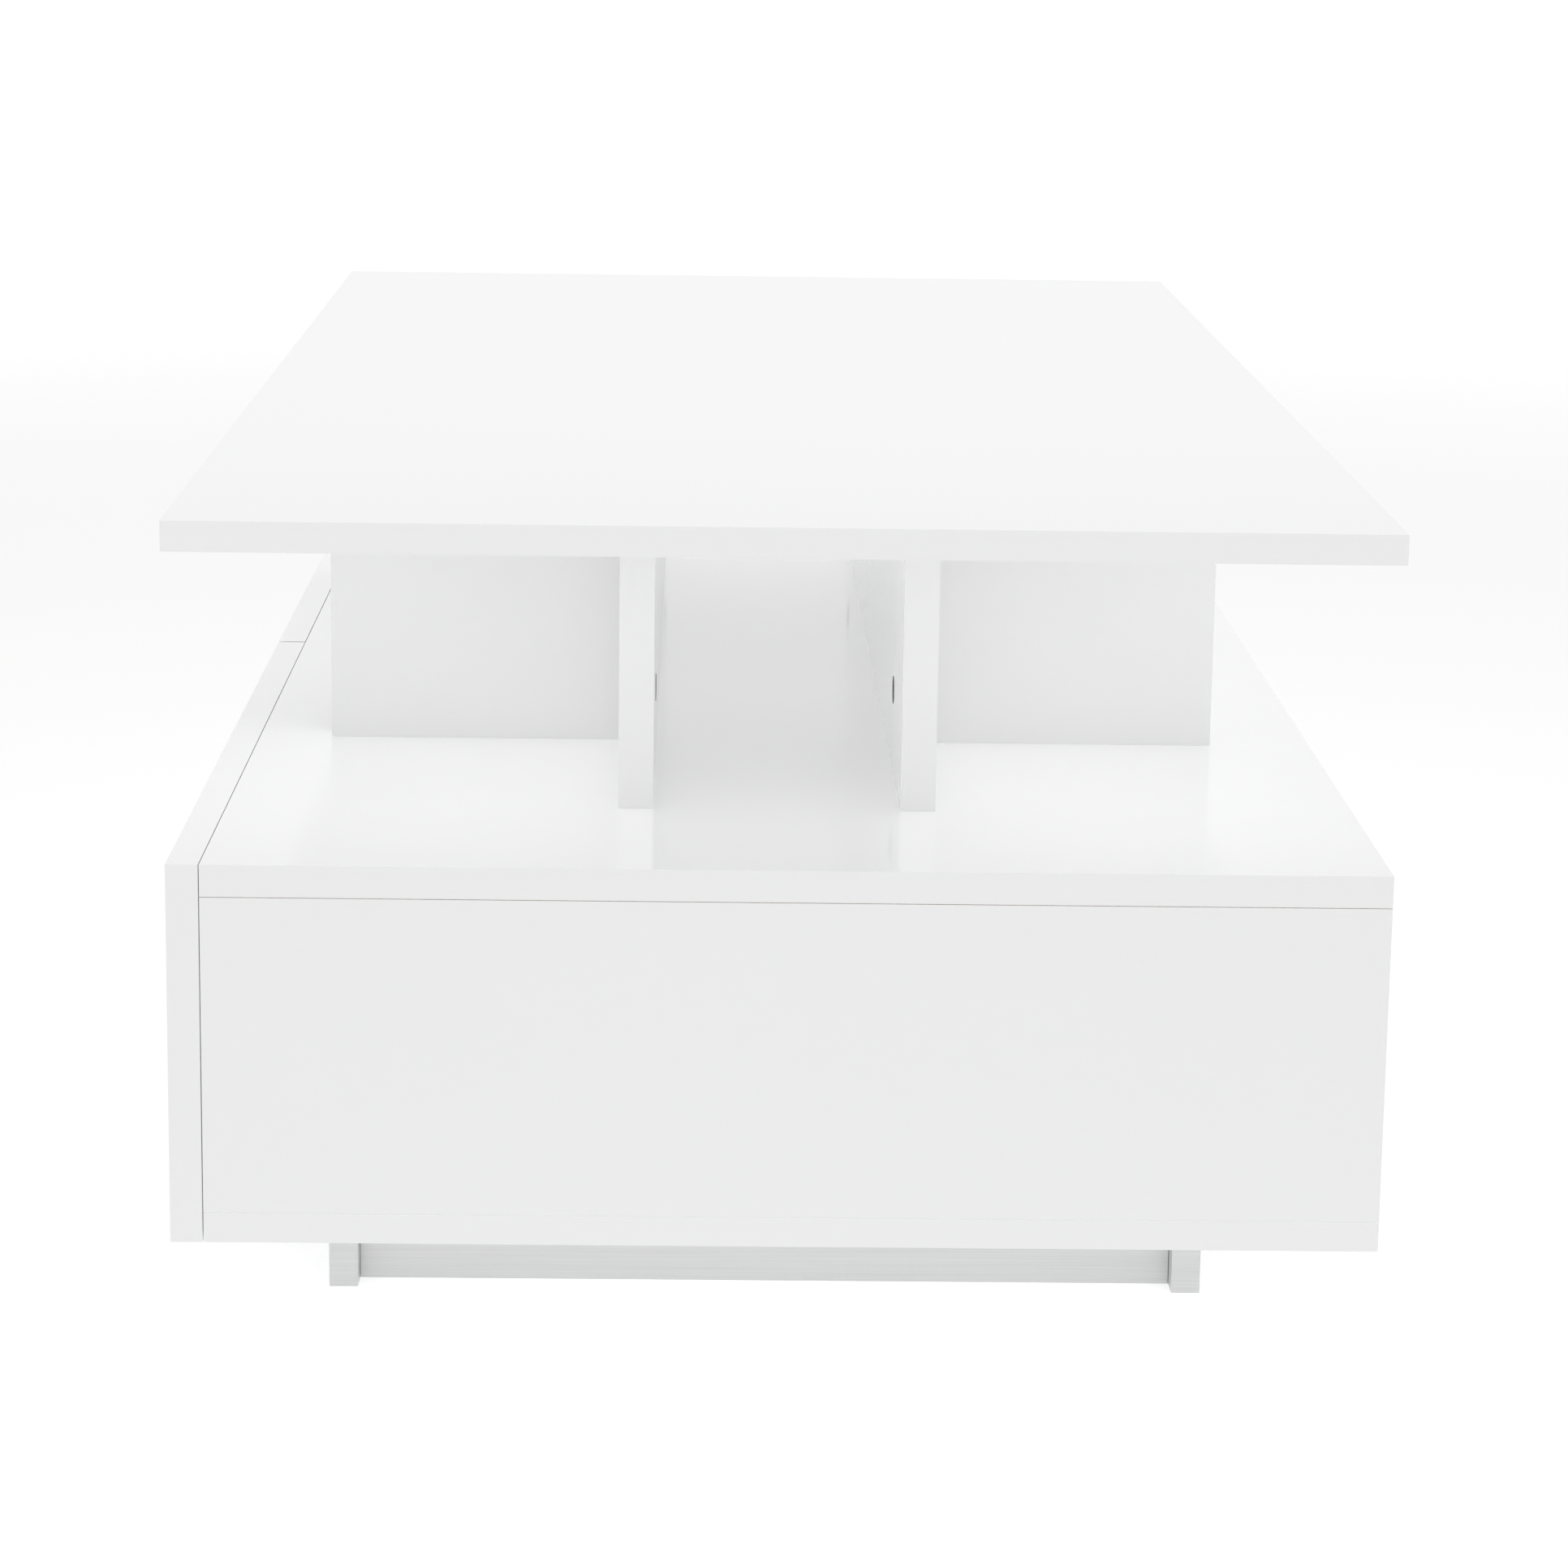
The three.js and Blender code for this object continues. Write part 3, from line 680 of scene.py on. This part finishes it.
def make_lift_screws():
    """Screws through the base plates into the wings, and through the brackets into the top."""
    plates = bmesh.new()
    flanges = bmesh.new()
    turn = LIFT_FIRST_TURN
    for label, inward in (("front", 1), ("rear", -1)):
        low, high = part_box(f"lift_base_plate_{label}")
        face_y = high.y if inward > 0 else low.y
        for x in (low.x + PLATE_SCREW_INSET, high.x - PLATE_SCREW_INSET):
            for level in PLATE_SCREW_LEVELS:
                turn += LIFT_TURN_STEP
                place = (x, face_y, low.z + level)
                add_screw(plates, place, (0, inward, 0), PLATE_SCREW_RADIUS, PLATE_SCREW_HEIGHT, turn)
        low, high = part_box(f"lift_bracket_{label}")
        line_y = (high.y - FLANGE_SCREW_LINE) if inward > 0 else (low.y + FLANGE_SCREW_LINE)
        flange_z = high.z - FLANGE_THICKNESS
        for x in spaced(low.x + FLANGE_SCREW_INSET, high.x - FLANGE_SCREW_INSET, FLANGE_SCREWS):
            turn += LIFT_TURN_STEP
            place = (x, line_y, flange_z)
            add_screw(flanges, place, (0, 0, -1), PLATE_SCREW_RADIUS, PLATE_SCREW_HEIGHT, turn)
    add_piece("lift_base_plate_screws", plates, "plated_steel", "root")
    add_piece("lift_bracket_screws", flanges, "plated_steel", "top")


LATCH_SCREW_RADIUS = 2.6 * MM
LATCH_SCREW_HEIGHT = 1.4 * MM
LATCH_SCREW_INSET = 14 * MM
LATCH_SCREW_TURNS = (0.4, 1.3)


def make_latch_screws(drawer):
    """Screws through a push latch's housing, up into the deck."""
    low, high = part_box(f"push_latch_{drawer}_housing")
    work = bmesh.new()
    for turn, x in zip(LATCH_SCREW_TURNS, (low.x + LATCH_SCREW_INSET, high.x - LATCH_SCREW_INSET)):
        place = (x, middle(low.y, high.y), low.z)
        add_screw(work, place, (0, 0, -1), LATCH_SCREW_RADIUS, LATCH_SCREW_HEIGHT, turn)
    add_piece(f"push_latch_{drawer}_screws", work, "plated_steel", "root")


RUNNER_STEEL = 1.2 * MM
RUNNER_SCREW_RADIUS = 3.0 * MM
RUNNER_SCREW_HEIGHT = 0.5 * MM
RUNNER_SCREW_INSET = 35 * MM
RUNNER_SCREWS = 4
RUNNER_FIRST_TURN = 0.2
RUNNER_TURN_STEP = 0.6


def runner_sides(drawer):
    """For each of a drawer's two runners: its place and the direction from the wall to the drawer."""
    return ((f"runner_{drawer}_near", 1), (f"runner_{drawer}_far", -1))


def make_runner_screws(drawer):
    """Flat screws inside the runners, through the outer members and through the inner ones."""
    size = (RUNNER_SCREW_RADIUS, RUNNER_SCREW_HEIGHT)
    walls = bmesh.new()
    boxes = bmesh.new()
    turn = RUNNER_FIRST_TURN
    for runner, inward in runner_sides(drawer):
        outer_low, outer_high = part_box(f"{runner}_outer")
        inner_low, inner_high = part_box(f"{runner}_inner")
        wall_web = (outer_low.y if inward > 0 else outer_high.y) + inward * RUNNER_STEEL
        drawer_web = (inner_high.y if inward > 0 else inner_low.y) - inward * RUNNER_STEEL
        centre_z = middle(outer_low.z, outer_high.z)
        first_x = outer_low.x + RUNNER_SCREW_INSET
        last_x = outer_high.x - RUNNER_SCREW_INSET
        for x in spaced(first_x, last_x, RUNNER_SCREWS):
            turn += RUNNER_TURN_STEP
            add_screw(walls, (x, wall_web, centre_z), (0, inward, 0), *size, turn)
            add_screw(boxes, (x, drawer_web, centre_z), (0, -inward, 0), *size, -turn)
    add_piece(f"runner_{drawer}_wall_screws", walls, "plated_steel", "root")
    add_piece(f"runner_{drawer}_drawer_screws", boxes, "plated_steel", f"drawer_{drawer}")


# ---- ball cages between the runner members ----

BALL_RINGS = 6
BALL_STEPS = 10
BALLS_PER_ROW = 12
# The balls fill this share of the space between two members.
BALL_FIT = 0.94
BALL_ROW_MARGIN = 8 * MM
CAGE_THICKNESS = 0.3 * MM
# Space between a cage's web and the member inside it, and how far the cage's flanges stay behind
# the edges of the member around it.
CAGE_CLEARANCE = 0.1 * MM
CAGE_LIP_SETBACK = 0.6 * MM
# Where each cage starts and ends, from the end of the middle member that faces the drawer front.
REAR_CAGE_START = 215 * MM
REAR_CAGE_END = 480 * MM
FRONT_CAGE_START = 15 * MM
FRONT_CAGE_END = 250 * MM


def add_ball(work, place, radius):
    """A faceted ball with small flats at its poles."""
    rings = []
    for step in range(BALL_RINGS + 1):
        angle = math.pi * (step + 0.5) / (BALL_RINGS + 1)
        rings.append((radius * math.sin(angle), -radius * math.cos(angle)))
    add_turned(work, place, (0, 0, 1), rings, BALL_STEPS)


def add_strip(work, section, start_x, end_x):
    """A closed bar of constant section, given as (y, z) corners in order, along X."""
    near = [work.verts.new((start_x, y, z)) for y, z in section]
    far = [work.verts.new((end_x, y, z)) for y, z in section]
    work.faces.new(near)
    work.faces.new(reversed(far))
    for corner in range(len(section)):
        ahead = (corner + 1) % len(section)
        work.faces.new((near[corner], near[ahead], far[ahead], far[corner]))


def cage_section(web_y, lip_y, inward, centre_z, half):
    """Outline of a thin channel whose flanges lie between two members."""
    inner_web = web_y + inward * CAGE_THICKNESS
    lip = half - CAGE_THICKNESS
    corners = [
        (web_y, -half),
        (lip_y, -half),
        (lip_y, -lip),
        (inner_web, -lip),
        (inner_web, lip),
        (lip_y, lip),
        (lip_y, half),
        (web_y, half),
    ]
    return [(y, centre_z + height) for y, height in corners]


def make_ball_cages(drawer):
    """Two rows of balls and their cage between each two neighbouring members of a runner."""
    balls = bmesh.new()
    cages = bmesh.new()
    for runner, inward in runner_sides(drawer):
        boxes = {member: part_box(f"{runner}_{member}") for member in ("outer", "middle", "inner")}
        centre_z = middle(boxes["outer"][0].z, boxes["outer"][1].z)
        half = {}
        wall_side = {}
        drawer_side = {}
        for member, (low, high) in boxes.items():
            half[member] = (high.z - low.z) / 2
            wall_side[member] = low.y if inward > 0 else high.y
            drawer_side[member] = high.y if inward > 0 else low.y
        start_x = boxes["middle"][0].x
        layers = (
            ("outer", "middle", start_x + REAR_CAGE_START, start_x + REAR_CAGE_END),
            ("middle", "inner", start_x + FRONT_CAGE_START, start_x + FRONT_CAGE_END),
        )
        for around, inside, cage_start, cage_end in layers:
            roof = half[around] - RUNNER_STEEL
            ball_radius = (roof - half[inside]) / 2 * BALL_FIT
            track = (roof + half[inside]) / 2
            web_y = wall_side[inside] - inward * (CAGE_CLEARANCE + CAGE_THICKNESS)
            lip_y = drawer_side[around] - inward * CAGE_LIP_SETBACK
            row_y = middle(wall_side[inside], lip_y)
            section = cage_section(web_y, lip_y, inward, centre_z, track + CAGE_THICKNESS / 2)
            add_strip(cages, section, cage_start, cage_end)
            for x in spaced(cage_start + BALL_ROW_MARGIN, cage_end - BALL_ROW_MARGIN, BALLS_PER_ROW):
                for side in (-1, 1):
                    add_ball(balls, (x, row_y, centre_z + side * track), ball_radius)
    add_piece(f"runner_{drawer}_balls", balls, "plated_steel", f"runner_{drawer}_middle")
    add_piece(f"runner_{drawer}_cages", cages, "plated_steel", f"runner_{drawer}_middle")


# ---- cam fittings, plinth blocks, collars and bumpers ----

# Places of the cams, from an upright's ends and foot, and from a drawer side's front end and its
# lower and upper edges.
UPRIGHT_CAM_SETBACK = 108 * MM
UPRIGHT_CAM_LEVEL = 43 * MM
UPRIGHT_CAM_FIRST_TURN = 0.5
UPRIGHT_CAM_TURN_STEP = 0.8
DRAWER_CAM_SETBACK = 24 * MM
DRAWER_CAM_INSET = 28 * MM
DRAWER_CAM_TURNS = (0.6, 1.9)


def make_upright_cams():
    """Cams near the foot of each upright, all but flush with the face that looks into the channel."""
    work = bmesh.new()
    turn = UPRIGHT_CAM_FIRST_TURN
    for upright, inward in (("upright_left", 1), ("upright_right", -1)):
        low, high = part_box(upright)
        face_x = high.x if inward > 0 else low.x
        for y in (low.y + UPRIGHT_CAM_SETBACK, high.y - UPRIGHT_CAM_SETBACK):
            turn += UPRIGHT_CAM_TURN_STEP
            add_cam(work, (face_x, y, low.z + UPRIGHT_CAM_LEVEL), (inward, 0, 0), turn)
    # Their black stands in for the shade on zinc cams deep in the channel: painted shade.
    add_piece("upright_cams", work, "black_steel", "root")


def make_drawer_cams(drawer):
    """Cams that hold each drawer side to the front, on the faces inside the drawer."""
    work = bmesh.new()
    for side, inward in (("near", 1), ("far", -1)):
        low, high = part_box(f"drawer_{drawer}_side_{side}")
        face_y = high.y if inward > 0 else low.y
        for turn, z in zip(DRAWER_CAM_TURNS, (low.z + DRAWER_CAM_INSET, high.z - DRAWER_CAM_INSET)):
            place = (low.x + DRAWER_CAM_SETBACK, face_y, z)
            add_cam(work, place, (0, inward, 0), turn)
    add_piece(f"drawer_{drawer}_cams", work, "plated_steel", f"drawer_{drawer}")


# A corner block is BLOCK_WALL thick at its two tips and twice that BLOCK_CUT further in, with an
# oblique face between.
BLOCK_SIZE = 34 * MM
BLOCK_HEIGHT = 22 * MM
BLOCK_WALL = 3 * MM
BLOCK_GAP = 0.2 * MM
BLOCK_CUT = 8 * MM
BLOCK_CHAMFER = 1.5 * MM
BLOCK_SCREW_RADIUS = 3.2 * MM
BLOCK_SCREW_HEIGHT = 1.8 * MM
BLOCK_SCREW_SETBACK = 0.3 * BLOCK_SIZE
BLOCK_SCREW_TURN = 0.9


def make_plinth_blocks():
    """Moulded corner blocks with screws, inside the plinth and just under the bottom board."""
    blocks = bmesh.new()
    screws = bmesh.new()
    left_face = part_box("plinth_side_left")[1].x
    right_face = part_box("plinth_side_right")[0].x
    front_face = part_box("plinth_cross_front")[1].y
    rear_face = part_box("plinth_cross_rear")[0].y
    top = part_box("plinth_cross_front")[1].z
    for corner_x, inward_x in ((left_face, 1), (right_face, -1)):
        for corner_y, inward_y in ((front_face, 1), (rear_face, -1)):
            outline = [
                (0, 0),
                (BLOCK_SIZE, 0),
                (BLOCK_SIZE, BLOCK_WALL),
                (BLOCK_SIZE - BLOCK_CUT, 2 * BLOCK_WALL),
                (2 * BLOCK_WALL, BLOCK_SIZE - BLOCK_CUT),
                (BLOCK_WALL, BLOCK_SIZE),
                (0, BLOCK_SIZE),
            ]
            floor = top - BLOCK_HEIGHT
            loops = []
            for inset, z in ((0.0, top), (0.0, floor + BLOCK_CHAMFER), (BLOCK_CHAMFER, floor)):
                loop = []
                for x, y in outline:
                    spot_x = corner_x + inward_x * (BLOCK_GAP + max(x - inset, 0))
                    spot_y = corner_y + inward_y * (BLOCK_GAP + max(y - inset, 0))
                    loop.append(blocks.verts.new((spot_x, spot_y, z)))
                loops.append(loop)
            blocks.faces.new(loops[0])
            for above, below in zip(loops, loops[1:]):
                for step in range(len(outline)):
                    ahead = (step + 1) % len(outline)
                    blocks.faces.new((above[step], above[ahead], below[ahead], below[step]))
            blocks.faces.new(loops[-1])
            screw_x = corner_x + inward_x * BLOCK_SCREW_SETBACK
            screw_y = corner_y + inward_y * BLOCK_SCREW_SETBACK
            place = (screw_x, screw_y, floor)
            add_screw(screws, place, (0, 0, -1), BLOCK_SCREW_RADIUS, BLOCK_SCREW_HEIGHT, BLOCK_SCREW_TURN)
    add_piece("plinth_blocks", blocks, "white_plastic", "root")
    add_piece("plinth_block_screws", screws, "plated_steel", "root")


COLLAR_RADIUS = 7.5 * MM
COLLAR_LENGTH = 4.0 * MM
COLLAR_STEPS = 32
# The collar's last edge stands this far off the bar, and its end face reaches this far into it.
COLLAR_LIP = 0.3 * MM
COLLAR_SINK = 0.5 * MM


def make_bar_collars():
    """A turned collar at each end of the cross bar, where it is fixed to its arm."""
    low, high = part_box("lift_cross_bar")
    bar_radius = (high.x - low.x) / 2
    work = bmesh.new()
    rings = profile_rings(COLLAR_PROFILE, COLLAR_RADIUS, COLLAR_LENGTH)
    rings.append((bar_radius + COLLAR_LIP, COLLAR_LENGTH))
    rings.append((bar_radius - COLLAR_SINK, COLLAR_LENGTH))
    for end_y, inward in ((low.y, 1), (high.y, -1)):
        place = (middle(low.x, high.x), end_y, middle(low.z, high.z))
        add_turned(work, place, (0, inward, 0), rings, COLLAR_STEPS)
    add_piece("lift_cross_bar_collars", work, "black_steel", "lift_arms_upper")


BUMPER_RADIUS = 4.5 * MM
BUMPER_HEIGHT = 0.35 * MM
BUMPER_INSET = 8.0 * MM
BUMPER_LEVELS = (45 * MM, 150 * MM)
BUMPER_STEPS = 28


def make_bumpers(drawer):
    """Soft dots inside a drawer front, opposite the edge of the body's end panel."""
    low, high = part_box(f"drawer_{drawer}_front")
    work = bmesh.new()
    rings = profile_rings(BUMPER_PROFILE, BUMPER_RADIUS, BUMPER_HEIGHT)
    end_y = low.y + BUMPER_INSET if abs(low.y) > abs(high.y) else high.y - BUMPER_INSET
    for level in BUMPER_LEVELS:
        add_turned(work, (high.x, end_y, low.z + level), (1, 0, 0), rings, BUMPER_STEPS)
    add_piece(f"drawer_{drawer}_bumpers", work, "white_plastic", f"drawer_{drawer}")


# ---- the whole scene ----

make_camera()
make_floor()
make_light()
finish_nodes()
make_springs()
make_lift_screws()
make_bar_collars()
make_upright_cams()
make_plinth_blocks()
for drawer_name in ("a", "b"):
    make_latch_screws(drawer_name)
    make_runner_screws(drawer_name)
    make_ball_cages(drawer_name)
    make_drawer_cams(drawer_name)
    make_bumpers(drawer_name)
